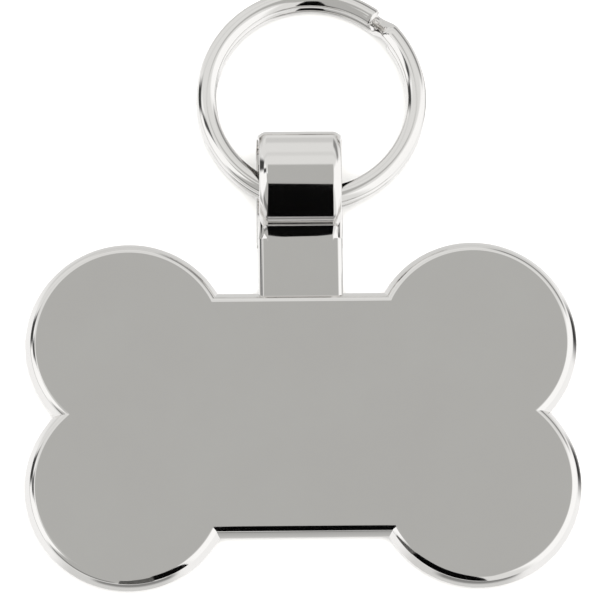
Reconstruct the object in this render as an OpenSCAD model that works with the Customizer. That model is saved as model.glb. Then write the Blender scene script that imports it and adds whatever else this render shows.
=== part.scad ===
// Bone-shaped identification tag with a folded strap loop, lying on its back with its split ring
// threaded through the loop. The middle of the plate's back is the origin, +Y runs up the neck to the
// ring and +Z is the front.

/* [Bone plate] */
// Radius of each of the four round lobes
lobe_r = 9.35; // [8.5:0.05:11]
// Spacing of the lobe centres along the bone
lobe_pitch_x = 31.3; // [26:0.1:40]
// Spacing of the lobe centres across the bone
lobe_pitch_y = 13; // [11.5:0.1:15]
// Width across the straight waist
waist_w = 22.4; // [19:0.1:25]
// Thickness of the plate
plate_t = 2.2; // [2.1:0.05:3]
// Width of the sloped rim seen from the front
rim_w = 1; // [0.85:0.05:1.5]
// Radius between the flat face and the rim
face_fillet_r = 0.7; // [0.4:0.05:0.8]
// Radius of the rim's widest line
rim_nose_r = 0.3; // [0.15:0.05:0.4]

/* [Neck] */
// Length of the neck between the plate and the loop's foot
neck_len = 4.7; // [4:0.1:9]
// Thickness of the neck
neck_t = 1.8; // [1.6:0.05:2]
// Width of the neck
neck_w = 7.7; // [6.5:0.1:8]
// Radius of the neck's rounded edges
neck_edge_r = 0.4; // [0.2:0.05:0.6]

/* [Strap loop] */
// Thickness of the strap
strap_t = 0.75; // [0.65:0.01:0.78]
// Width of the strap round the loop
strap_w = 7.9; // [7.5:0.1:9]
// Radius of the strap's rounded edges
edge_r = 0.3; // [0.15:0.01:0.32]
// Radius of the hollow bend at the loop's foot
foot_r = 1.75; // [1.6:0.05:1.9]
// Radius of the loop's bulging front
front_r = 5.4; // [5.3:0.05:5.8]
// Radius of the bend over the loop's head
head_r = 1.95; // [1.8:0.05:2.2]
// Steepest slope of the front above the foot
foot_slope = 58.5; // [58:0.5:62]
// Slope at which the front turns into the head bend
head_slope = 37; // [34:1:40]
// Length of the solid web between the foot and the eye
web_len = 2.6; // [2.4:0.05:2.8]

/* [Split ring] */
// Outside diameter of the ring
ring_od = 21.1; // [19:0.1:30]
// Width of the wire across the ring's face
wire_w = 1.8; // [1.5:0.05:1.9]
// Thickness of one coil of wire
wire_t = 1.25; // [0.9:0.01:1.3]
// Gap between the two coils
coil_gap = 0.08; // [0.05:0.01:0.1]
// How far the ring has slid sideways in the loop
ring_shift = 1.2; // [-1.5:0.05:1.5]
// Direction of the wire's front end, counter-clockwise from +X
nose_dir = 51; // [0:1:120]
// Length of the step where the wire drops between the coils
step_len = 1.9; // [1.4:0.1:3]
// Length of the rounded tip at each end of the wire
tip_len = 0.45; // [0.3:0.05:0.6]

/* [Clearances] */
// Gap between the ring and the web at the bottom of the eye
eye_gap = 0.25; // [0.1:0.05:0.6]
// Gap between the ring and the back leaf that it rests on
rest_gap = 0.05; // [0.03:0.01:0.1]
// Least gap between the ring and the inner side of the loop's front
front_gap = 0.1; // [0.08:0.01:0.2]

/* [Hidden] */

// Drawing steps
fillet_steps = 5;
edge_steps = 4;
corner_steps = 6;
head_steps = 7;
front_steps = 16;
foot_steps = 6;
bend_step = 9;
web_steps = 4;
coil_steps = 48;
section_sides = 12;
round_fn = 96;

// Rim profile: the flat flank touches both the face fillet and the nose
half_t = plate_t / 2;
flank_run = rim_w - rim_nose_r;
flank_drop = half_t - face_fillet_r;
flank_tilt = atan2(flank_drop, flank_run)
    + asin((face_fillet_r - rim_nose_r) / norm([flank_run, flank_drop]));

// Neck and loop, in the plane that runs up the middle of the tag
neck_top = waist_w / 2 + neck_len;
foot_c = [neck_top, neck_t + foot_r];
foot_end = foot_c + foot_r * [sin(foot_slope), -cos(foot_slope)];
front_c = foot_end + front_r * [sin(foot_slope), -cos(foot_slope)];
head_c = front_c + (front_r - head_r) * [sin(head_slope), cos(head_slope)];
loop_top = head_c.x + head_r;
corner_r = head_c.y;
corner_c = [loop_top - corner_r, corner_r];
eye_start = neck_top + web_len;

// How far the neck and the web run into each other
joint_lap = 0.3;

// Points of the wire's section about its middle, across the ring's face and up
wire_profile = [for (k = [0:section_sides - 1])
    [wire_w / 2 * cos(360 * k / section_sides), wire_t / 2 * sin(360 * k / section_sides)]
];

// Ring: its near side rests on the back leaf and its far side on the ground
ring_r = ring_od / 2;
ring_h = 2 * wire_t + coil_gap;
coil_z = (wire_t + coil_gap) / 2;
inner_r = ring_r - wire_w;
leaf_reach = sqrt(pow(inner_r, 2) - pow(strap_w / 2 + abs(ring_shift), 2));
ring_tilt = asin((strap_t + rest_gap) / (ring_r + leaf_reach));
ring_z = ring_r * sin(ring_tilt) + ring_h / 2 * cos(ring_tilt);

// It lies as near to the web as the inner side of the loop's front leaves room for its upper coil
front_room = front_r - strap_t - front_gap;
near_points = [for (p = wire_profile)
    let (y = -(ring_r - wire_w / 2 + p.x), z = coil_z + p.y)
    [y * cos(ring_tilt) + z * sin(ring_tilt), ring_z - y * sin(ring_tilt) + z * cos(ring_tilt)]
];
ring_y = max(concat(
    [eye_start + eye_gap + ring_r * cos(ring_tilt)],
    [for (p = near_points)
        front_c.x - p.x - sqrt(max(0, pow(front_room, 2) - pow(p.y - front_c.y, 2)))
    ]
));
step_turn = step_len / (ring_r - wire_w / 2) * 180 / PI;
wire_turn = 720 - step_turn - 2;
tip_turn = tip_len / (ring_r - wire_w / 2) * 180 / PI;

// Points of an arc about c from angle a to angle b, in n steps
function arc(c, r, a, b, n) = [for (i = [0:n]) c + r * [cos(a + (b - a) * i / n), sin(a + (b - a) * i / n)]];

// Rounded rectangle about the origin
function rounded_rect(w, h, r) = [
    for (q = [0:3])
        each arc(
            [(q == 0 || q == 3 ? 1 : -1) * (w / 2 - r), (q < 2 ? 1 : -1) * (h / 2 - r)],
            r, q * 90, q * 90 + 90, edge_steps
        )
];

// Rim from the back face round to the front face, with the widest line at reach
function rim(reach) = concat(
    arc([reach - rim_w, face_fillet_r], face_fillet_r, -90, flank_tilt - 90, fillet_steps),
    arc([reach - rim_nose_r, half_t], rim_nose_r, flank_tilt - 90, 90 - flank_tilt, fillet_steps),
    arc([reach - rim_w, plate_t - face_fillet_r], face_fillet_r, 90 - flank_tilt, 90, fillet_steps)
);

// Closed solid through a list of sections, each a ring of as many points
module sweep(sections) {
    n = len(sections[0]);
    last = len(sections) - 1;
    sides = [for (i = [0:last - 1], k = [0:n - 1])
        let (a = i * n + k, b = i * n + (k + 1) % n)
        each [[a, b, b + n], [a, b + n, a + n]]
    ];
    first_end = [for (k = [n - 1:-1:0]) k];
    last_end = [for (k = [0:n - 1]) last * n + k];
    polyhedron(points = [for (s = sections) each s], faces = concat(sides, [first_end, last_end]));
}

// Turns a profile drawn in Y and Z, with its depth along X, into place
module up_the_neck() {
    rotate([90, 0, 90]) children();
}

module lobe() {
    rotate_extrude($fn = round_fn) polygon(concat([[0, plate_t], [0, 0]], rim(lobe_r)));
}

module waist() {
    top_edge = rim(waist_w / 2);
    bottom_edge = [for (i = [len(top_edge) - 1:-1:0]) [-top_edge[i].x, top_edge[i].y]];
    up_the_neck()
        linear_extrude(height = lobe_pitch_x, center = true) polygon(concat(top_edge, bottom_edge));
}

module plate() {
    for (side = [-1, 1], end = [-1, 1])
        translate([side * lobe_pitch_x / 2, end * lobe_pitch_y / 2, 0]) lobe();
    waist();
}

// Neck, rooted in the plate and in the loop's foot
module neck() {
    root = waist_w / 2 - rim_w - face_fillet_r;
    translate([0, root, neck_t / 2]) rotate([-90, 0, 0])
        linear_extrude(height = neck_top + joint_lap - root)
            polygon(rounded_rect(neck_w, neck_t, neck_edge_r));
}

// Stops along the middle of the strap, each a place and the way its outer side faces
function bend_stops(c, r, a, b, n, out = 1) = [
    for (i = [0:n])
        let (d = a + (b - a) * i / n)
        [c + r * [cos(d), sin(d)], out * [cos(d), sin(d)]]
];

// The strap runs up the back, over the head, down the bulging front and out along the foot
function strap_stops() = concat(
    [[[neck_top, strap_t / 2], [0, -1]]],
    bend_stops(corner_c, corner_r - strap_t / 2, -90, 0, corner_steps),
    bend_stops(head_c, head_r - strap_t / 2, bend_step, 90 - head_slope, head_steps),
    bend_stops(front_c, front_r - strap_t / 2, 90 - head_slope + bend_step, 90 + foot_slope, front_steps),
    bend_stops(foot_c, foot_r + strap_t / 2, 270 + foot_slope - bend_step, 270, foot_steps, -1)
);

module strap() {
    section = rounded_rect(strap_t, strap_w, edge_r);
    stops = strap_stops();
    sweep([for (stop = stops) [for (p = section)
        [p.y, stop[0].x + p.x * stop[1].x, stop[0].y + p.x * stop[1].y]
    ]]);
}

// Fills the foot between the two leaves, up to the eye
module web() {
    crown = foot_c + (foot_r + strap_t / 2) * [sin(foot_slope), -cos(foot_slope)];
    under_foot = [for (p = arc(foot_c, foot_r + strap_t / 2, 270 + foot_slope, 270, web_steps))
        if (p.x < eye_start) p];
    floor_z = strap_t / 2;
    root = neck_top - joint_lap;
    up_the_neck() linear_extrude(height = strap_w - edge_r, center = true)
        polygon(concat(
            [[root, floor_z], [eye_start, floor_z], [eye_start, crown.y]],
            under_foot,
            [[root, neck_t - strap_t / 2]]
        ));
}

module bone_tag() {
    color("silver") {
        plate();
        neck();
        strap();
        web();
    }
}

// Height of the wire's middle after it has turned by t from its front end
function coil_height(t) =
    t <= 360 - step_turn ? coil_z
    : t >= 360 ? -coil_z
    : coil_z * cos(180 * (t - 360 + step_turn) / step_turn);

// Size of the wire's section near its two rounded ends, as a share of the full one
function tip_share(t) =
    let (u = min(t, wire_turn - t, tip_turn) / tip_turn)
    sqrt(max(0.1, 1 - pow(1 - u, 2)));

// Where the wire is cut into sections: finely at its ends and its step, evenly elsewhere
function wire_stops() = concat(
    [0, tip_turn * 0.2, tip_turn * 0.5],
    [for (i = [0:coil_steps - 1]) tip_turn + (360 - step_turn - tip_turn) * i / coil_steps],
    [for (i = [0:5]) 360 - step_turn + step_turn * i / 6],
    [for (i = [0:coil_steps]) 360 + (wire_turn - tip_turn - 360) * i / coil_steps],
    [wire_turn - tip_turn * 0.5, wire_turn - tip_turn * 0.2, wire_turn]
);

// One section of the wire: a flattened round, in the plane through the ring's axis
function wire_section(t) =
    let (share = tip_share(t), a = nose_dir + t)
    [for (p = wire_profile)
        let (across = ring_r - wire_w / 2 + share * p.x)
        [across * cos(a), across * sin(a), coil_height(t) + share * p.y]
    ];

module split_ring() {
    color("gainsboro")
        translate([ring_shift, ring_y, ring_z]) rotate([-ring_tilt, 0, 0])
            sweep([for (t = wire_stops()) wire_section(t)]);
}

bone_tag();
split_ring();
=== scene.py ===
"""A mirror-polished bone-shaped identification tag, lying on a pale floor with its split ring.

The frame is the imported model, in metres, with +Y up the neck and +Z out of the tag's front. The two
nodes are modelled again here, as smooth bodies of the same sizes, and get their finishes.
"""

import logging
import math
from collections.abc import Callable, Iterator, Mapping, Sequence
from contextlib import contextmanager
from dataclasses import dataclass, field
from enum import Enum

import bmesh
import bpy
from mathutils import Matrix, Vector


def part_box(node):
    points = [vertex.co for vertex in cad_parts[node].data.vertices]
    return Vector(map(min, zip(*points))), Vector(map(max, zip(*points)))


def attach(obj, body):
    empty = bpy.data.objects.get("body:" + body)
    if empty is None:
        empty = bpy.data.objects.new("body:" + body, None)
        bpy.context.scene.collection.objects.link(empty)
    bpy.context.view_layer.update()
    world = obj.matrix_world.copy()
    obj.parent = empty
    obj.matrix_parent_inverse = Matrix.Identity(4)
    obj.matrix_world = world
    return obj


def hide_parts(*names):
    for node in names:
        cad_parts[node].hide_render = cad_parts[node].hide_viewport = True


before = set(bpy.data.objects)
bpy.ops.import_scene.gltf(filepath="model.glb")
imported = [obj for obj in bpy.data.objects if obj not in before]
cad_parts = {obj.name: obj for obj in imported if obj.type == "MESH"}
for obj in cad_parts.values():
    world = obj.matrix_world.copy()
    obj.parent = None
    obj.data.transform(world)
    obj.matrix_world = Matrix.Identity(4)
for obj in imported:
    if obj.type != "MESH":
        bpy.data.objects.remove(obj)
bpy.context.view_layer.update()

MM = 0.001
TOUCH = 0.0001 * MM  # points that lie closer are one
SAME = 0.001 * MM  # lengths that differ by less are the same but for rounding
FLAT = 0.9  # share of a face's normal along Z from which it counts as flat
PICTURE_PX = 600
log = logging.getLogger("bone_tag")

Colour = tuple[float, float, float, float]
Point = Sequence[float]
Test = Callable[[object], bool]


class Slot(Enum):
    """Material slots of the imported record."""

    TAG = "polished_nickel"
    WIRE = "plated_wire"


class Axis(Enum):
    """Directions of the row frame."""

    X = (1.0, 0.0, 0.0)
    Y = (0.0, 1.0, 0.0)
    Z = (0.0, 0.0, 1.0)


def linear(code: str) -> Colour:
    """Turn an sRGB hex colour into a linear one.

    Args:
        code: The colour, such as "C8C8C6".

    Returns:
        Red, green, blue and an alpha of 1.
    """
    shares = [int(code[i:i + 2], 16) / 255 for i in (0, 2, 4)]
    red, green, blue = (s / 12.92 if s <= 0.04045 else ((s + 0.055) / 1.055) ** 2.4 for s in shares)
    return red, green, blue, 1.0


def add_node(
    tree: bpy.types.NodeTree,
    kind: str,
    settings: Mapping[str, object] | None = None,
    values: Mapping[str | int, object] | None = None,
    links: Mapping[str | int, bpy.types.NodeSocket] | None = None,
) -> bpy.types.Node:
    """Add one node with its settings, socket values and incoming links.

    Args:
        tree: The tree that gets the node.
        kind: The node's type name.
        settings: The node's own properties.
        values: Default values of its input sockets, by name or number.
        links: The output that feeds each linked input socket, by name or number.

    Returns:
        The new node.
    """
    node = tree.nodes.new(kind)
    for name, value in (settings or {}).items():
        setattr(node, name, value)
    for socket, value in (values or {}).items():
        node.inputs[socket].default_value = value
    for socket, source in (links or {}).items():
        tree.links.new(source, node.inputs[socket])
    return node


def empty_material(name: str) -> bpy.types.Material:
    """Start a node material with no nodes.

    Args:
        name: The material's name.

    Returns:
        The material.
    """
    material = bpy.data.materials.new(name)
    material.use_nodes = True
    material.node_tree.nodes.clear()
    return material


def deselect_all() -> None:
    """Leave nothing selected and no object in edit mode."""
    if bpy.context.mode != "OBJECT":
        bpy.ops.object.mode_set(mode="OBJECT")
    bpy.ops.object.select_all(action="DESELECT")


def only(obj: bpy.types.Object) -> None:
    """Make an object the only selected one, and the active one."""
    deselect_all()
    obj.select_set(True)
    bpy.context.view_layer.objects.active = obj


@contextmanager
def edit_mode(obj: bpy.types.Object) -> Iterator[None]:
    """Work on an object in edit mode, with everything in it deselected at the start.

    Args:
        obj: The mesh object.
    """
    only(obj)
    bpy.ops.object.mode_set(mode="EDIT")
    bpy.ops.mesh.select_all(action="DESELECT")
    try:
        yield
    finally:
        bpy.ops.object.mode_set(mode="OBJECT")


def pick(obj: bpy.types.Object, element: str, test: Test) -> None:
    """Select the elements of a mesh in edit mode that pass a test, and nothing else.

    Args:
        obj: The object in edit mode.
        element: "VERT", "EDGE" or "FACE".
        test: Says whether one element is wanted.
    """
    bpy.ops.mesh.select_mode(type=element)
    bpy.ops.mesh.select_all(action="DESELECT")
    mesh = bmesh.from_edit_mesh(obj.data)
    sequence = {"VERT": mesh.verts, "EDGE": mesh.edges, "FACE": mesh.faces}[element]
    for item in sequence:
        if test(item):
            item.select_set(True)
    mesh.select_flush_mode()
    bmesh.update_edit_mesh(obj.data)


def near(a: float, b: float) -> bool:
    """Tell whether two lengths are the same but for rounding."""
    return abs(a - b) < SAME


def cut_at(place: Point, normal: Point, **settings: bool) -> None:
    """Bisect the selected geometry in edit mode.

    Args:
        place: A point of the cutting plane.
        normal: The plane's normal.
        settings: The bisect's other settings, such as clear_outer.
    """
    bpy.ops.mesh.bisect(plane_co=place, plane_no=normal, threshold=TOUCH, **settings)


def spin_end(centre: Point, axis: Axis, degrees: float, steps: int) -> None:
    """Spin the selected edges in edit mode, counter-clockwise about an axis for a positive angle.

    Args:
        centre: A point of the axis.
        axis: The axis's direction.
        degrees: How far the spin turns.
        steps: How many facets it makes.
    """
    bpy.ops.mesh.spin(
        steps=steps, angle=-math.radians(degrees), center=centre, axis=axis.value, use_auto_merge=False
    )


def apply_modifier(obj: bpy.types.Object, kind: str, **settings: object) -> None:
    """Add a modifier with its settings and apply it.

    Args:
        obj: The object that gets it.
        kind: The modifier's type name.
        settings: The modifier's properties.
    """
    only(obj)
    modifier = obj.modifiers.new(kind.lower(), kind)
    for name, value in settings.items():
        setattr(modifier, name, value)
    bpy.ops.object.modifier_apply(modifier=modifier.name)


def unite(body: bpy.types.Object, others: Sequence[bpy.types.Object]) -> None:
    """Fuse closed bodies into the first one, and drop them.

    Args:
        body: The body that is kept.
        others: The bodies that become part of it.
    """
    group = bpy.data.collections.new("to_be_fused")
    for other in others:
        group.objects.link(other)
    apply_modifier(body, "BOOLEAN", operation="UNION", solver="EXACT", operand_type="COLLECTION", collection=group)
    for other in others:
        bpy.data.objects.remove(other)
    bpy.data.collections.remove(group)


def put_in_place(piece: bpy.types.Object, node: str, material: bpy.types.Material) -> None:
    """Give a piece its material, let it stand for a node of the frame, and report it.

    Args:
        piece: The finished piece.
        node: The node that it replaces.
        material: Its finish.
    """
    piece.data.materials.clear()
    piece.data.materials.append(material)
    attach(piece, "root")
    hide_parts(node)
    log.info("%s: %d faces", piece.name, len(piece.data.polygons))


@dataclass(frozen=True)
class PolishedNickel:
    """Nickel plate over polished metal: a near-perfect mirror with a faint haze of polishing.

    Attributes:
        name: The material's name.
        bright: Colour of the clean plate.
        dull: Colour where the polish has left a haze.
        smooth: Roughness of the clean plate.
        hazy: Roughness of the haze.
        haze_from: Share of the haze pattern at which the haze starts.
        haze_full: Share at which it is full.
        haze_size: Size of one patch of haze.
        haze_detail: Octaves of the haze pattern.
        haze_grain: How strongly the finer octaves show.
        ripple_size: Size of one ripple that the buffing wheel left.
        ripple_height: Height of the ripples.
    """

    name: str
    bright: str = "E9E8E6"
    dull: str = "E3E1DF"
    smooth: float = 0.05
    hazy: float = 0.08
    haze_from: float = 0.35
    haze_full: float = 0.7
    haze_size: float = 7.0 * MM
    haze_detail: float = 3.0
    haze_grain: float = 0.6
    ripple_size: float = 3.0 * MM
    ripple_height: float = 0.0004 * MM

    def make(self) -> bpy.types.Material:
        """Make the material.

        Returns:
            The node material.
        """
        material = empty_material(self.name)
        tree = material.node_tree
        place = add_node(tree, "ShaderNodeTexCoord").outputs["Object"]
        haze = add_node(
            tree, "ShaderNodeTexNoise",
            values={"Scale": 1 / self.haze_size, "Detail": self.haze_detail, "Roughness": self.haze_grain},
            links={"Vector": place},
        ).outputs["Fac"]
        colour = add_node(
            tree, "ShaderNodeMix", {"data_type": "RGBA"},
            values={6: linear(self.bright), 7: linear(self.dull)}, links={0: haze},
        ).outputs[2]
        roughness = add_node(
            tree, "ShaderNodeMapRange",
            values={
                "From Min": self.haze_from, "From Max": self.haze_full,
                "To Min": self.smooth, "To Max": self.hazy,
            },
            links={"Value": haze},
        ).outputs["Result"]
        ripple = add_node(
            tree, "ShaderNodeTexNoise",
            values={"Scale": 1 / self.ripple_size, "Detail": 0.0}, links={"Vector": place},
        ).outputs["Fac"]
        bump = add_node(
            tree, "ShaderNodeBump", values={"Strength": 1.0, "Distance": self.ripple_height},
            links={"Height": ripple},
        ).outputs["Normal"]
        shader = add_node(
            tree, "ShaderNodeBsdfPrincipled", values={"Metallic": 1.0},
            links={"Base Color": colour, "Roughness": roughness, "Normal": bump},
        ).outputs["BSDF"]
        add_node(tree, "ShaderNodeOutputMaterial", links={"Surface": shader})
        return material


# Nickel plate over a buffed zinc casting. The eye sees a neutral mirror that holds the room in sharp
# panels of grey, white and black, and a haze too faint to see but at their borders. The buffing's
# ripples are drawn as coarse as they need to be to bend a straight border a little.
CASTING_PLATE = PolishedNickel(name="mirror_polished_nickel_plate")

# Bright nickel over drawn spring wire. The eye sees the same mirror drawn out along the wire, in thin
# light and dark lines that follow its turns.
WIRE_PLATE = PolishedNickel(name="nickel_plated_steel_wire")


@dataclass(frozen=True)
class MatteSheet:
    """Matte paper or card of the studio.

    Attributes:
        name: The material's name.
        tone: Its colour.
        roughness: Its roughness.
        specular: Its specular level.
    """

    name: str
    tone: str
    roughness: float
    specular: float

    def make(self) -> bpy.types.Material:
        """Make the material.

        Returns:
            The node material.
        """
        material = empty_material(self.name)
        shader = add_node(
            material.node_tree, "ShaderNodeBsdfPrincipled",
            values={
                "Base Color": linear(self.tone), "Roughness": self.roughness, "Specular IOR Level": self.specular,
            },
        ).outputs["BSDF"]
        add_node(material.node_tree, "ShaderNodeOutputMaterial", links={"Surface": shader})
        return material


# White sweep paper. The eye sees an even white with a soft shadow where the tag lies on it.
SWEEP_PAPER = MatteSheet("matte_white_paper_sweep", "F4F3F1", roughness=0.9, specular=0.1)

# Black flocked card and grey card. The eye sees them only in the metal, as its dark bands.
BLACK_CARD = MatteSheet("matte_black_card", "060606", roughness=1.0, specular=0.0)
GREY_CARD = MatteSheet("matte_grey_card", "5A5A59", roughness=1.0, specular=0.0)


@dataclass(frozen=True)
class Rim:
    """The rounded rim of a flat plate, in metres: a sloped flank between two small radii.

    Attributes:
        width: Width of the sloped rim seen from the front.
        face_r: Radius between a flat face and the flank.
        nose_r: Radius of the rim's widest line.
        thickness: Thickness of the plate.
    """

    width: float
    face_r: float
    nose_r: float
    thickness: float

    @property
    def tilt(self) -> float:
        """Angle between the flank's normal and the plate's, in radians."""
        run = self.width - self.nose_r
        drop = self.thickness / 2 - self.face_r
        return math.atan2(drop, run) + math.asin((self.face_r - self.nose_r) / math.hypot(run, drop))

    @property
    def nose_overhang(self) -> float:
        """How far the unrounded flanks would meet outside the widest line."""
        return self.nose_r / math.sin(self.tilt) - self.nose_r

    @property
    def face_inset(self) -> float:
        """How far inside the widest line the unrounded flank meets the flat face."""
        return self.width - self.face_r * math.tan(self.tilt / 2)

    @property
    def nose_cut(self) -> float:
        """How far along each flank the nose's rounding reaches."""
        return self.nose_r / math.tan(self.tilt)

    @property
    def face_cut(self) -> float:
        """How far along the flank and the face the face's rounding reaches."""
        return self.face_r * math.tan(self.tilt / 2)


@dataclass
class BonePlate:
    """The bone-shaped plate: four round lobes and a straight waist, with one rim all round.

    Attributes:
        lobe_r: Radius of each lobe.
        pitch_x: Spacing of the lobe centres along the bone.
        pitch_y: Spacing of the lobe centres across the bone.
        waist_w: Width across the straight waist.
        rim: The rim's sizes.
        lobe_sides: Facets round one lobe.
        round_steps: Facets across one rounding.
    """

    lobe_r: float = 9.35 * MM
    pitch_x: float = 31.3 * MM
    pitch_y: float = 13 * MM
    waist_w: float = 22.4 * MM
    rim: Rim = Rim(width=1.0 * MM, face_r=0.7 * MM, nose_r=0.3 * MM, thickness=2.2 * MM)
    lobe_sides: int = 192
    round_steps: int = 8

    def _shape_rim(self, block: bpy.types.Object, half: float, along_x: bool, test: Test) -> None:
        """Slope a block's sides out to its mid line and round their edges, in edit mode.

        Args:
            block: The block, as wide as the flanks would be if they met unrounded.
            half: Distance from its middle to its finished widest line.
            along_x: Whether its ends slope too.
            test: Says whether an edge belongs to the rim.
        """
        rim = self.rim
        bpy.ops.mesh.select_all(action="SELECT")
        cut_at((0, 0, rim.thickness / 2), Axis.Z.value)
        share = (half - rim.face_inset) / (half + rim.nose_overhang)
        for height in (0.0, rim.thickness):
            pick(block, "FACE", lambda f: abs(f.normal.z) > FLAT and near(f.calc_center_median().z, height))
            bpy.ops.transform.resize(value=(share if along_x else 1, share, 1), center_override=(0, 0, height))
        for heights, cut in (((rim.thickness / 2,), rim.nose_cut), ((0.0, rim.thickness), rim.face_cut)):
            pick(block, "EDGE", lambda e: test(e) and all(
                any(near(v.co.z, height) for height in heights) for v in e.verts))
            bpy.ops.mesh.bevel(offset=cut, segments=self.round_steps, affect="EDGES", clamp_overlap=False)

    def lobe(self, centre: tuple[float, float]) -> bpy.types.Object:
        """Make one lobe as a turned disc.

        Args:
            centre: Its centre in X and Y.

        Returns:
            The closed disc, in place.
        """
        deselect_all()
        bpy.ops.mesh.primitive_cylinder_add(
            vertices=self.lobe_sides,
            radius=self.lobe_r + self.rim.nose_overhang,
            depth=self.rim.thickness,
            location=(0, 0, self.rim.thickness / 2),
        )
        disc = bpy.context.active_object
        bpy.ops.object.transform_apply(location=True)
        with edit_mode(disc):
            self._shape_rim(disc, self.lobe_r, True, lambda e: True)
            bpy.ops.mesh.select_all(action="SELECT")
            bpy.ops.transform.translate(value=(*centre, 0))
        return disc

    def waist(self) -> bpy.types.Object:
        """Make the straight bar between the lobes.

        Returns:
            The closed bar, in place, with its ends inside the lobes.
        """
        half = self.waist_w / 2
        deselect_all()
        bpy.ops.mesh.primitive_cube_add(
            size=1,
            location=(0, 0, self.rim.thickness / 2),
            scale=(self.pitch_x, 2 * (half + self.rim.nose_overhang), self.rim.thickness),
        )
        bar = bpy.context.active_object
        bpy.ops.object.transform_apply(location=True, scale=True)
        with edit_mode(bar):
            self._shape_rim(bar, half, False, lambda e: near(e.verts[0].co.y, e.verts[1].co.y))
        return bar

    def build(self) -> bpy.types.Object:
        """Make the plate.

        Returns:
            One closed body.
        """
        plate = self.waist()
        centres = [(side * self.pitch_x / 2, end * self.pitch_y / 2) for side in (-1, 1) for end in (-1, 1)]
        unite(plate, [self.lobe(centre) for centre in centres])
        return plate


@dataclass
class Neck:
    """The flat neck between the plate and the loop's foot.

    Attributes:
        root: Where it starts, inside the plate, in Y.
        top: Where it ends, in the loop's foot, in Y.
        width: Its width.
        thickness: Its thickness.
        edge_r: Radius of its long edges.
        round_steps: Facets across one rounded edge.
    """

    root: float
    top: float
    width: float = 7.7 * MM
    thickness: float = 1.8 * MM
    edge_r: float = 0.5 * MM
    round_steps: int = 8

    def build(self) -> bpy.types.Object:
        """Make the neck.

        Returns:
            One closed bar with rounded long edges.
        """
        deselect_all()
        bpy.ops.mesh.primitive_cube_add(
            size=1,
            location=(0, (self.root + self.top) / 2, self.thickness / 2),
            scale=(self.width, self.top - self.root, self.thickness),
        )
        bar = bpy.context.active_object
        bpy.ops.object.transform_apply(location=True, scale=True)
        with edit_mode(bar):
            pick(bar, "EDGE", lambda e: not near(e.verts[0].co.y, e.verts[1].co.y))
            bpy.ops.mesh.bevel(offset=self.edge_r, segments=self.round_steps, affect="EDGES")
        return bar


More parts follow.
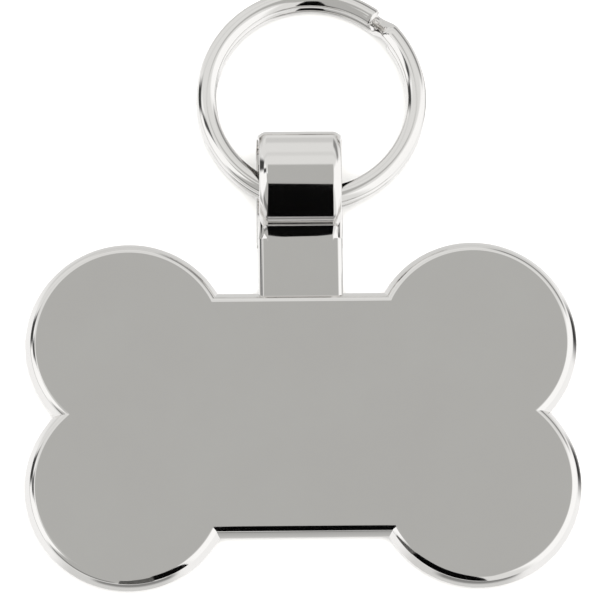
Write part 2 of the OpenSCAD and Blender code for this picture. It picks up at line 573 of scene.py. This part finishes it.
@dataclass
class StrapLoop:
    """The strap that rises from the neck, folds over its head and comes down the bulging front.

    Attributes:
        neck_top: Where the loop starts, in Y.
        neck_t: Thickness of the neck that the foot runs out on.
        strap_t: Thickness of the strap.
        strap_w: Width of the strap up the back and over the head.
        front_w: Width that it narrows to round the head, for the front and the foot.
        web_w: Width of the solid web.
        flank_w: Width of the sloped flank along each outer edge.
        flank_t: How deep that flank goes.
        flank_cut: How far the rounding between the outer side and the flank reaches.
        edge_cut: How far the rounding of the other edges reaches.
        foot_r: Radius of the hollow bend at the foot.
        front_r: Radius of the bulging front.
        head_r: Radius of the bend over the head.
        foot_slope: Steepest slope of the front above the foot, in degrees.
        head_slope: Slope at which the front turns into the head bend, in degrees.
        web_len: Length of the solid web between the foot and the eye.
        lap: How far the strap runs down the neck, and the neck into the strap; the web goes half as far.
        step: Largest turn of one facet, in degrees.
        round_steps: Facets across one rounded edge.
    """

    neck_top: float
    neck_t: float
    strap_t: float = 0.75 * MM
    strap_w: float = 7.9 * MM
    front_w: float = 7.5 * MM
    web_w: float = 7.8 * MM
    flank_w: float = 0.56 * MM
    flank_t: float = 0.42 * MM
    flank_cut: float = 0.3 * MM
    edge_cut: float = 0.12 * MM
    foot_r: float = 1.75 * MM
    front_r: float = 5.4 * MM
    head_r: float = 1.95 * MM
    foot_slope: float = 58.5
    head_slope: float = 37
    web_len: float = 2.6 * MM
    lap: float = 0.3 * MM
    step: float = 2.0
    round_steps: int = 8

    def _at_slope(self, radius: float, degrees: float) -> Vector:
        """Offset in Y and Z from the end of a slope to a centre on its lower side."""
        angle = math.radians(degrees)
        return Vector((0, radius * math.sin(angle), -radius * math.cos(angle)))

    @property
    def foot_c(self) -> Vector:
        """Centre of the foot's bend."""
        return Vector((0, self.neck_top, self.neck_t + self.foot_r))

    @property
    def front_c(self) -> Vector:
        """Centre of the front's bulge."""
        return self.foot_c + self._at_slope(self.foot_r + self.front_r, self.foot_slope)

    @property
    def head_c(self) -> Vector:
        """Centre of the bend over the head."""
        angle = math.radians(self.head_slope)
        return self.front_c + (self.front_r - self.head_r) * Vector((0, math.sin(angle), math.cos(angle)))

    @property
    def corner_c(self) -> Vector:
        """Centre of the bend from the back up into the head."""
        radius = self.head_c.z
        return Vector((0, self.head_c.y + self.head_r - radius, radius))

    @property
    def eye_start(self) -> float:
        """Where the eye starts, in Y."""
        return self.neck_top + self.web_len

    def _section(self) -> bpy.types.Object:
        """Make the strap's section at the back of the neck, as one closed wire.

        Returns:
            The section, standing across Y.
        """
        half_t = self.strap_t / 2
        spread = self.flank_w / self.flank_t
        deselect_all()
        bpy.ops.mesh.primitive_plane_add(size=1, location=(0, 0, 0))
        strip = bpy.context.active_object
        with edit_mode(strip):
            bpy.ops.mesh.select_all(action="SELECT")
            bpy.ops.transform.resize(value=(self.strap_w / spread, self.strap_t, 1))
            for height, cut, segments, widen in (
                (half_t, self.flank_t, 1, spread),
                (half_t, self.flank_cut, self.round_steps, 1),
                (half_t - self.flank_t, self.edge_cut, self.round_steps, 1),
                (-half_t, self.edge_cut, self.round_steps, 1),
            ):
                pick(strip, "VERT", lambda v: near(v.co.y, height))
                bpy.ops.mesh.bevel(offset=cut, segments=segments, affect="VERTICES", clamp_overlap=False)
                bpy.ops.mesh.select_all(action="SELECT")
                bpy.ops.transform.resize(value=(widen, 1, 1), center_override=(0, 0, 0))
            bpy.ops.transform.rotate(value=math.radians(90), orient_axis="X", center_override=(0, 0, 0))
            bpy.ops.transform.translate(value=(0, self.neck_top - self.lap, half_t))
            bpy.ops.mesh.delete(type="ONLY_FACE")
        return strip

    def _bend(self, centre: Vector, degrees: float, share: float = 1.0) -> None:
        """Spin the selected end of the strap about an axis along X.

        Args:
            centre: The bend's centre.
            degrees: How far it turns; positive lifts the end towards +Z.
            share: How much of its width the strap keeps, lost evenly over the bend.
        """
        steps = max(2, round(abs(degrees) / self.step))
        for _ in range(steps):
            spin_end(centre, Axis.X, degrees / steps, 1)
            bpy.ops.transform.resize(value=(share ** (1 / steps), 1, 1), center_override=(0, 0, 0))

    def strap(self) -> bpy.types.Object:
        """Make the strap from its section, by extruding and spinning its end.

        Returns:
            One closed body.
        """
        strip = self._section()
        with edit_mode(strip):
            bpy.ops.mesh.select_all(action="SELECT")
            straight = self.corner_c.y - (self.neck_top - self.lap)
            bpy.ops.mesh.extrude_region_move(TRANSFORM_OT_translate={"value": (0, straight, 0)})
            self._bend(self.corner_c, 90)
            self._bend(self.head_c, 90 - self.head_slope, self.front_w / self.strap_w)
            self._bend(self.front_c, self.head_slope + self.foot_slope)
            self._bend(self.foot_c, -self.foot_slope)
            bpy.ops.mesh.extrude_region_move(TRANSFORM_OT_translate={"value": (0, -self.lap, 0)})
            bpy.ops.mesh.select_all(action="SELECT")
            bpy.ops.mesh.remove_doubles(threshold=TOUCH)
            bpy.ops.mesh.select_all(action="DESELECT")
            bpy.ops.mesh.select_mode(type="EDGE")
            bpy.ops.mesh.select_non_manifold(extend=False)
            bpy.ops.mesh.edge_face_add()
            bpy.ops.mesh.select_all(action="SELECT")
            bpy.ops.mesh.normals_make_consistent(inside=False)
        return strip

    def web(self) -> bpy.types.Object:
        """Make the solid web between the two leaves, from the foot up to the eye.

        Returns:
            One closed block whose front slopes along the foot.
        """
        middle_r = self.foot_r + self.strap_t / 2
        crown = self.foot_c + self._at_slope(middle_r, self.foot_slope)
        low, high = self.strap_t / 2, crown.z
        root = self.neck_top - self.lap / 2
        deselect_all()
        bpy.ops.mesh.primitive_cube_add(
            size=1,
            location=(0, (root + self.eye_start) / 2, (low + high) / 2),
            scale=(self.web_w, self.eye_start - root, high - low),
        )
        block = bpy.context.active_object
        bpy.ops.object.transform_apply(location=True, scale=True)
        foot = Vector((0, self.neck_top, self.neck_t - self.strap_t / 2))
        slope = crown - foot
        with edit_mode(block):
            bpy.ops.mesh.select_all(action="SELECT")
            cut_at(foot, (0, -slope.z, slope.y), use_fill=True, clear_outer=True)
            pick(block, "EDGE", lambda e: (
                near(abs(e.verts[0].co.x), self.web_w / 2)
                and near(e.verts[0].co.x, e.verts[1].co.x)
                and e.verts[0].co.z + e.verts[1].co.z > low + high
            ))
            bpy.ops.mesh.bevel(offset=self.flank_cut, segments=self.round_steps, affect="EDGES")
        return block


@dataclass
class BoneTag:
    """The casting: plate, neck and folded strap loop in one piece of plated metal.

    Attributes:
        plate: The bone plate.
        neck_len: Length of the neck between the plate and the loop's foot.
        level: Largest angle between faces that become one, in degrees.
        crease: Smallest angle that stays a sharp line, in degrees.
        face_pull: How strongly large faces straighten the shading beside them.
    """

    plate: BonePlate = field(default_factory=BonePlate)
    neck_len: float = 4.7 * MM
    level: float = 0.05
    crease: float = 32
    face_pull: int = 60

    def build(self) -> bpy.types.Object:
        """Fuse the casting's parts and settle its shading.

        Returns:
            One closed body.
        """
        waist_edge = self.plate.waist_w / 2
        neck_top = waist_edge + self.neck_len
        loop = StrapLoop(neck_top, Neck.thickness)
        root = waist_edge - self.plate.rim.width - self.plate.rim.face_r
        neck_end = neck_top + loop.lap
        body = self.plate.build()
        unite(body, [Neck(root, neck_end).build(), loop.web(), loop.strap()])
        body.name = "polished_bone_tag"
        body.data.name = body.name
        with edit_mode(body):
            bpy.ops.mesh.select_all(action="SELECT")
            bpy.ops.mesh.remove_doubles(threshold=TOUCH)
            bpy.ops.mesh.dissolve_limited(angle_limit=math.radians(self.level))
            # The neck's end has corners that are almost in line, which only split cleanly here.
            pick(body, "FACE", lambda f: all(near(v.co.y, neck_end) for v in f.verts))
            bpy.ops.mesh.quads_convert_to_tris()
            bpy.ops.mesh.select_all(action="SELECT")
            bpy.ops.mesh.normals_make_consistent(inside=False)
        only(body)
        bpy.ops.object.shade_smooth_by_angle(angle=math.radians(self.crease))
        apply_modifier(body, "WEIGHTED_NORMAL", mode="FACE_AREA", weight=self.face_pull, keep_sharp=True)
        return body

    def dress(self, body: bpy.types.Object) -> None:
        """Plate the casting and put it in its node's place."""
        put_in_place(body, "bone_tag", CASTING_PLATE.make())


@dataclass
class SplitRing:
    """The double-coil split ring, one flattened wire of nearly two turns.

    Attributes:
        outer_r: Outer radius.
        centre: Middle of the ring.
        tilt: How far it leans back from the horizontal, in degrees.
        wire_w: Width of the wire across the ring's face.
        wire_t: Thickness of one coil of wire.
        coil_gap: Gap between the two coils.
        nose_dir: Direction of the wire's front end, counter-clockwise from +X, in degrees.
        step_len: Length of the step where the wire drops between the coils.
        tip_len: Length of the rounded tip at each end of the wire.
        tip_share: Smallest share of its section that a tip is drawn in to.
        tail_gap: Turn left open between the back end and the step, in degrees.
        crease: Smallest angle that stays a sharp line, in degrees.
        section_sides: Facets round the wire.
        coil_steps: Facets along one coil.
        drop_steps: Facets along the step.
        tip_steps: Facets along one tip.
    """

    outer_r: float
    centre: Vector
    tilt: float
    wire_w: float = 1.8 * MM
    wire_t: float = 1.25 * MM
    coil_gap: float = 0.08 * MM
    nose_dir: float = 51
    step_len: float = 1.9 * MM
    tip_len: float = 0.45 * MM
    tip_share: float = 0.25
    tail_gap: float = 2
    crease: float = 50
    section_sides: int = 40
    coil_steps: int = 180
    drop_steps: int = 10
    tip_steps: int = 6

    @classmethod
    def in_frame(cls) -> "SplitRing":
        """Work out the ring's size, place and lean from its node in the frame.

        Returns:
            The ring's sizes, ready to build.
        """
        low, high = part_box("split_ring")
        outer_r = (high.x - low.x) / 2
        thick = 2 * cls.wire_t + cls.coil_gap
        lean = math.degrees(math.asin(((high.z - low.z) - thick) / (2 * outer_r)))
        return cls(outer_r=outer_r, centre=(low + high) / 2, tilt=lean)

    @property
    def middle_r(self) -> float:
        """Radius of the wire's middle."""
        return self.outer_r - self.wire_w / 2

    def _turn_of(self, length: float) -> float:
        """Angle in degrees of a length along the wire's middle."""
        return math.degrees(length / self.middle_r)

    def _spin(self, degrees: float, steps: int) -> None:
        """Spin the wire's selected end on round the ring."""
        spin_end((0, 0, 0), Axis.Z, degrees, steps)

    def _section(self, height: float) -> bpy.types.Object:
        """Make the wire's section at the front end, as one closed wire.

        Args:
            height: Height of the section's middle.

        Returns:
            The section, standing across the wire.
        """
        deselect_all()
        bpy.ops.mesh.primitive_circle_add(vertices=self.section_sides, radius=0.5, location=(0, 0, 0))
        strip = bpy.context.active_object
        with edit_mode(strip):
            bpy.ops.mesh.select_all(action="SELECT")
            bpy.ops.transform.resize(value=(self.wire_w, self.wire_t, 1), center_override=(0, 0, 0))
            bpy.ops.transform.rotate(value=math.radians(90), orient_axis="X", center_override=(0, 0, 0))
            bpy.ops.transform.translate(value=(self.middle_r, 0, height))
        return strip

    def _tip(self, wire: bpy.types.Object, direction: int) -> None:
        """Round off the selected end of the wire.

        Args:
            wire: The wire, in edit mode, with one end's edges selected.
            direction: 1 to go on round the ring, -1 to go back.
        """
        turn = self._turn_of(self.tip_len)
        for i in range(self.tip_steps):
            a, b = (math.radians(90 * k / self.tip_steps) for k in (i, i + 1))
            self._spin(direction * turn * (math.sin(b) - math.sin(a)), 1)
            share = max(math.cos(b), self.tip_share) / max(math.cos(a), self.tip_share)
            points = [v.co for v in bmesh.from_edit_mesh(wire.data).verts if v.select]
            middle = sum(points, Vector()) / len(points)
            bpy.ops.transform.resize(value=(share, share, share), center_override=middle)
        bpy.ops.mesh.edge_face_add()

    def build(self) -> bpy.types.Object:
        """Coil the wire and lay the ring in the loop.

        Returns:
            One closed body.
        """
        coil_z = (self.wire_t + self.coil_gap) / 2
        tip, drop = self._turn_of(self.tip_len), self._turn_of(self.step_len)
        wire = self._section(coil_z)
        with edit_mode(wire):
            bpy.ops.mesh.select_all(action="SELECT")
            self._spin(360 - drop - tip, self.coil_steps)
            for i in range(self.drop_steps):
                here, there = (coil_z * math.cos(math.pi * k / self.drop_steps) for k in (i, i + 1))
                self._spin(drop / self.drop_steps, 1)
                bpy.ops.transform.translate(value=(0, 0, there - here))
            self._spin(360 - drop - self.tail_gap - tip, self.coil_steps)
            self._tip(wire, 1)
            pick(wire, "EDGE", lambda e: e.is_boundary)
            self._tip(wire, -1)
            bpy.ops.mesh.select_all(action="SELECT")
            bpy.ops.mesh.remove_doubles(threshold=TOUCH)
            bpy.ops.mesh.normals_make_consistent(inside=False)
        lean = Matrix.Rotation(math.radians(-self.tilt), 4, "X")
        turn = Matrix.Rotation(math.radians(self.nose_dir + tip), 4, "Z")
        wire.matrix_world = Matrix.Translation(self.centre) @ lean @ turn
        only(wire)
        bpy.ops.object.transform_apply(location=True, rotation=True, scale=True)
        bpy.ops.object.shade_smooth_by_angle(angle=math.radians(self.crease))
        wire.name = "flat_wire_split_ring"
        wire.data.name = wire.name
        return wire

    def dress(self, wire: bpy.types.Object) -> None:
        """Plate the wire and put it in its node's place."""
        put_in_place(wire, "split_ring", WIRE_PLATE.make())


class Sky(Enum):
    """Ways to measure a direction of the studio's tent; angles in degrees."""

    ACROSS = "angle from straight up towards +X"
    ALONG = "angle from straight up towards +Y"
    TURN = "compass angle, from -Y towards +X"
    ZENITH = "angle from straight up"
    EAST = "how far the direction points to +X, from -1 to 1"
    NORTH = "how far it points to +Y, from -1 to 1"
    SIDE = "how far it points to either side, from 0 to 1"
    HEIGHT = "how far it points up, from -1 to 1"


@dataclass(frozen=True)
class Reach:
    """A soft-edged range of directions.

    Attributes:
        measure: What is measured.
        low: Where the range starts; None if it is open.
        high: Where it ends; None if it is open.
        soft: Half the width of its soft borders.
    """

    measure: Sky
    low: float | None
    high: float | None
    soft: float


@dataclass(frozen=True)
class SkyCard:
    """One panel of the studio's tent, as a patch of the sky that the metal mirrors.

    Attributes:
        name: What it is.
        tone: Its sRGB grey.
        reaches: Ranges of directions; the panel fills what is inside all of them.
        gain: How many times as bright as its tone it shines.
    """

    name: str
    tone: str
    reaches: tuple[Reach, ...]
    gain: float = 1.0


@dataclass(frozen=True)
class StandingCard:
    """A dark card that stands in front of the tag, where only the metal mirrors it.

    Its upright plane crosses the floor in a line, and its outline is given along that line and up.

    Attributes:
        start: Left end of the line, in X and Y.
        end: Right end of the line.
        top: Height of the card.
        foot: Height at which it starts.
        slopes: Lines that trim its sides, as two points each, along the line's share and up; the
            card keeps what is on the right of each, seen from its first point to its second.
        sheet: Its material.
    """

    start: tuple[float, float]
    end: tuple[float, float]
    top: float
    foot: float
    slopes: tuple[tuple[tuple[float, float], tuple[float, float]], ...]
    sheet: MatteSheet

    def _at(self, share: float, height: float) -> Vector:
        """Place a point of the card by its share of the line and its height."""
        return Vector((*self.start, height)).lerp(Vector((*self.end, height)), share)

    def build(self) -> bpy.types.Object:
        """Stand the card up.

        Returns:
            The card, hidden from everything but mirror rays.
        """
        line = self._at(1, 0) - self._at(0, 0)
        face = line.normalized().cross(Vector(Axis.Z.value))
        deselect_all()
        bpy.ops.mesh.primitive_plane_add(size=1, location=self._at(0.5, (self.foot + self.top) / 2))
        card = bpy.context.active_object
        card.rotation_euler = (math.radians(90), 0, math.atan2(line.y, line.x))
        card.scale = (line.length, self.top - self.foot, 1)
        bpy.ops.object.transform_apply(location=True, rotation=True, scale=True)
        with edit_mode(card):
            for low, high in self.slopes:
                bpy.ops.mesh.select_all(action="SELECT")
                edge = self._at(*high) - self._at(*low)
                cut_at(self._at(*low), face.cross(edge), clear_outer=True)
        card.name = "black_studio_card"
        card.visible_camera = card.visible_diffuse = card.visible_shadow = card.visible_transmission = False
        card.data.materials.append(self.sheet.make())
        return card


@dataclass
class Studio:
    """Pale floor, soft light, two standing cards and the tent of panels round the object.

    Attributes:
        floor_side: Side of the floor.
        floor_drop: How far the floor lies below the tag's back.
        light_watts: Power of the light over the floor.
        light_side: Side of the light.
        light_height: Height of the light.
        tent_tone: Grey of the tent where no panel hangs.
        standing: The standing cards: a tall one for the loop's black front, its foot and the arc on
            the lower right lobe, and a low one at its left for the arc on the lower left lobe.
        cards: The panels, each over the ones before it.
    """

    floor_side: float = 3.0
    floor_drop: float = 0.01 * MM
    light_watts: float = 9.0
    light_side: float = 0.9
    light_height: float = 0.8
    tent_tone: str = "F2F2F1"
    standing: Sequence[StandingCard] = (
        StandingCard(
            start=(-10 * MM, -29.9 * MM),
            end=(22 * MM, -51.4 * MM),
            top=200 * MM,
            foot=7 * MM,
            slopes=(((0.0, 45 * MM), (0.2, 200 * MM)), ((0.8, 200 * MM), (1.0, 9 * MM))),
            sheet=BLACK_CARD,
        ),
        StandingCard(
            start=(-18 * MM, -24.5 * MM),
            end=(-9 * MM, -30.55 * MM),
            top=50 * MM,
            foot=4 * MM,
            slopes=(((0.0, 16 * MM), (1.0, 50 * MM)),),
            sheet=GREY_CARD,
        ),
    )
    cards: Sequence[SkyCard] = (
        SkyCard("far_side_low", "DEDEDD", (
            Reach(Sky.ALONG, 70, 84, 4), Reach(Sky.NORTH, 0.1, None, 0.1), Reach(Sky.SIDE, None, 0.3, 0.1))),
        SkyCard("far_side_fold", "E8E8E7", (Reach(Sky.ALONG, 39, 47, 3), Reach(Sky.NORTH, 0.1, None, 0.1))),
        SkyCard("right_light", "FFFFFF", (Reach(Sky.TURN, 40, 122, 8), Reach(Sky.ZENITH, 20, 104, 4)), 1.2),
        SkyCard("left_light", "FFFFFF", (Reach(Sky.TURN, -120, -58, 8), Reach(Sky.ZENITH, 10, 84, 4)), 1.2),
        SkyCard("left_skyline", "A0A09F", (Reach(Sky.TURN, -118, -58, 8), Reach(Sky.ZENITH, 86, 106, 6))),
        SkyCard("left_front_skyline", "8C8C8B", (Reach(Sky.TURN, -62, -10, 6), Reach(Sky.ZENITH, 58, 76, 5))),
        SkyCard("far_right_skyline", "989897", (Reach(Sky.TURN, 118, 165, 6), Reach(Sky.ZENITH, 62, 84, 6))),
        SkyCard("left_gap", "484848", (
            Reach(Sky.NORTH, 0.20, 0.46, 0.06), Reach(Sky.EAST, None, -0.6, 0.1),
            Reach(Sky.HEIGHT, -0.6, 0.62, 0.08))),
        SkyCard("left_gap_top", "585858", (
            Reach(Sky.NORTH, 0.10, 0.24, 0.04), Reach(Sky.EAST, None, -0.4, 0.08),
            Reach(Sky.HEIGHT, 0.6, None, 0.05))),
        SkyCard("grey_overhead", "C0C0BE", (Reach(Sky.ACROSS, -6, 10, 1), Reach(Sky.ALONG, -24, 20.5, 2))),
        SkyCard("grey_overhead_left", "C0C0BE", (Reach(Sky.TURN, -105, 10, 5), Reach(Sky.ZENITH, None, 22, 3))),
        SkyCard("grey_overhead_front", "C0C0BE", (Reach(Sky.TURN, -58, -5, 5), Reach(Sky.ZENITH, None, 60, 4))),
        SkyCard("table", "FFFFFF", (Reach(Sky.HEIGHT, None, -0.005, 0.008),), 1.1),
        SkyCard("table_near_side", "E4E4E3", (
            Reach(Sky.HEIGHT, None, -0.005, 0.008), Reach(Sky.TURN, -50, 30, 10))),
        SkyCard("table_far_side", "E0E0DF", (
            Reach(Sky.HEIGHT, None, -0.005, 0.008), Reach(Sky.NORTH, 0.6, None, 0.2))),
        SkyCard("table_in_front", "929291", (Reach(Sky.ZENITH, 87, 110, 2), Reach(Sky.TURN, -25, 30, 5))),
        SkyCard("right_gap", "404040", (Reach(Sky.TURN, 98, 122, 8), Reach(Sky.ZENITH, 116, 132, 6))),
    )

    def _mask(self, tree: bpy.types.NodeTree, measures: Mapping[Sky, bpy.types.NodeSocket],
              reaches: Sequence[Reach]) -> bpy.types.NodeSocket:
        """Add nodes that give 1 inside all of some ranges and 0 outside, with soft borders.

        Args:
            tree: The world's tree.
            measures: The socket that holds each measure of the direction.
            reaches: The ranges.

        Returns:
            The socket that holds the mask.
        """
        mask = add_node(tree, "ShaderNodeValue").outputs[0]
        mask.default_value = 1.0
        for reach in reaches:
            for edge, sign in ((reach.low, 1), (reach.high, -1)):
                if edge is None:
                    continue
                side = add_node(
                    tree, "ShaderNodeMapRange", {"interpolation_type": "SMOOTHSTEP"},
                    values={"From Min": edge - sign * reach.soft, "From Max": edge + sign * reach.soft},
                    links={"Value": measures[reach.measure]},
                ).outputs["Result"]
                mask = add_node(
                    tree, "ShaderNodeMath", {"operation": "MULTIPLY"}, links={0: mask, 1: side}
                ).outputs[0]
        return mask

    def _measures(self, tree: bpy.types.NodeTree) -> dict[Sky, bpy.types.NodeSocket]:
        """Add nodes that measure the direction of the sky in every way.

        Args:
            tree: The world's tree.

        Returns:
            The socket that holds each measure.
        """
        way = add_node(tree, "ShaderNodeTexCoord").outputs["Generated"]
        x, y, z = add_node(tree, "ShaderNodeSeparateXYZ", links={0: way}).outputs
        side = add_node(tree, "ShaderNodeMath", {"operation": "ABSOLUTE"}, links={0: x}).outputs[0]
        front = add_node(
            tree, "ShaderNodeMath", {"operation": "MULTIPLY"}, values={1: -1.0}, links={0: y}
        ).outputs[0]
        measures = {Sky.EAST: x, Sky.NORTH: y, Sky.SIDE: side, Sky.HEIGHT: z}
        for measure, operation, parts in (
            (Sky.ACROSS, "ARCTAN2", {0: x, 1: z}),
            (Sky.ALONG, "ARCTAN2", {0: y, 1: z}),
            (Sky.TURN, "ARCTAN2", {0: x, 1: front}),
            (Sky.ZENITH, "ARCCOSINE", {0: z}),
        ):
            angle = add_node(tree, "ShaderNodeMath", {"operation": operation}, links=parts).outputs[0]
            measures[measure] = add_node(
                tree, "ShaderNodeMath", {"operation": "DEGREES"}, links={0: angle}
            ).outputs[0]
        return measures

    def hang_tent(self) -> None:
        """Make the world: the tent and its panels, which the metal mirrors and the floor is lit by."""
        world = bpy.data.worlds.new("studio_tent")
        bpy.context.scene.world = world
        world.use_nodes = True
        tree = world.node_tree
        tree.nodes.clear()
        measures = self._measures(tree)
        colour = add_node(tree, "ShaderNodeRGB").outputs[0]
        colour.default_value = linear(self.tent_tone)
        for card in self.cards:
            colour = add_node(
                tree, "ShaderNodeMix", {"data_type": "RGBA", "label": card.name},
                values={7: [share * card.gain for share in linear(card.tone)]},
                links={0: self._mask(tree, measures, card.reaches), 6: colour},
            ).outputs[2]
        background = add_node(tree, "ShaderNodeBackground", links={"Color": colour}).outputs[0]
        add_node(tree, "ShaderNodeOutputWorld", links={"Surface": background})

    def lay_floor(self) -> None:
        """Lay the pale floor, which the metal doesn't mirror."""
        deselect_all()
        bpy.ops.mesh.primitive_plane_add(size=self.floor_side, location=(0, 0, -self.floor_drop))
        floor = bpy.context.active_object
        floor.name = "studio_floor"
        floor.visible_glossy = False
        floor.data.materials.append(SWEEP_PAPER.make())

    def hang_light(self) -> None:
        """Hang one broad soft light overhead, for the floor."""
        data = bpy.data.lights.new("broad_overhead_light", "AREA")
        data.shape = "SQUARE"
        data.size = self.light_side
        data.energy = self.light_watts
        light = bpy.data.objects.new(data.name, data)
        light.location = (0, 0, self.light_height)
        light.visible_glossy = False
        bpy.context.scene.collection.objects.link(light)

    def build(self) -> None:
        """Set up the studio."""
        self.hang_tent()
        self.lay_floor()
        self.hang_light()
        for card in self.standing:
            card.build()
        bpy.context.scene.view_settings.view_transform = "Standard"


@dataclass
class PhotoCamera:
    """The camera, where the photographer stood.

    Attributes:
        aim: Point of the tag in the middle of the picture.
        distance: Distance from that point.
        tilt: Lean of the view from straight down, towards -Y, in degrees.
        swing: Lean of the view towards -X, in degrees.
        roll: Turn of the picture, in degrees.
        focal_px: Focal length in picture pixels.
        sensor_mm: Width of the sensor, in millimetres.
        clip: Nearest and farthest distance that it sees.
    """

    aim: Vector = field(default_factory=lambda: Vector((-0.095, 10.592, 1.1)) * MM)
    distance: float = 280 * MM
    tilt: float = 12.802
    swing: float = 1.78
    roll: float = 0.842
    focal_px: float = 3079.3
    sensor_mm: float = 36.0
    clip: tuple[float, float] = (0.01, 10.0)

    def build(self) -> None:
        """Add the camera and make it the scene's."""
        back = Vector((-math.sin(math.radians(self.swing)), -math.sin(math.radians(self.tilt)), 0))
        back.z = math.sqrt(1 - back.length_squared)
        right = Vector(Axis.Y.value).cross(back).normalized()
        turn = Matrix((right, back.cross(right), back)).transposed().to_4x4()
        data = bpy.data.cameras.new("photo_camera")
        data.sensor_width = self.sensor_mm
        data.lens = self.focal_px / PICTURE_PX * self.sensor_mm
        data.clip_start, data.clip_end = self.clip
        camera = bpy.data.objects.new(data.name, data)
        roll = Matrix.Rotation(math.radians(-self.roll), 4, "Z")
        camera.matrix_world = Matrix.Translation(self.aim + self.distance * back) @ turn @ roll
        bpy.context.scene.collection.objects.link(camera)
        bpy.context.scene.camera = camera


def main() -> None:
    """Build the tag, the ring and the studio in order."""
    logging.basicConfig(level=logging.INFO, format="%(name)s %(message)s")
    for maker in (BoneTag(), SplitRing.in_frame()):
        maker.dress(maker.build())
    Studio().build()
    PhotoCamera().build()


if __name__ == "__main__":
    main()
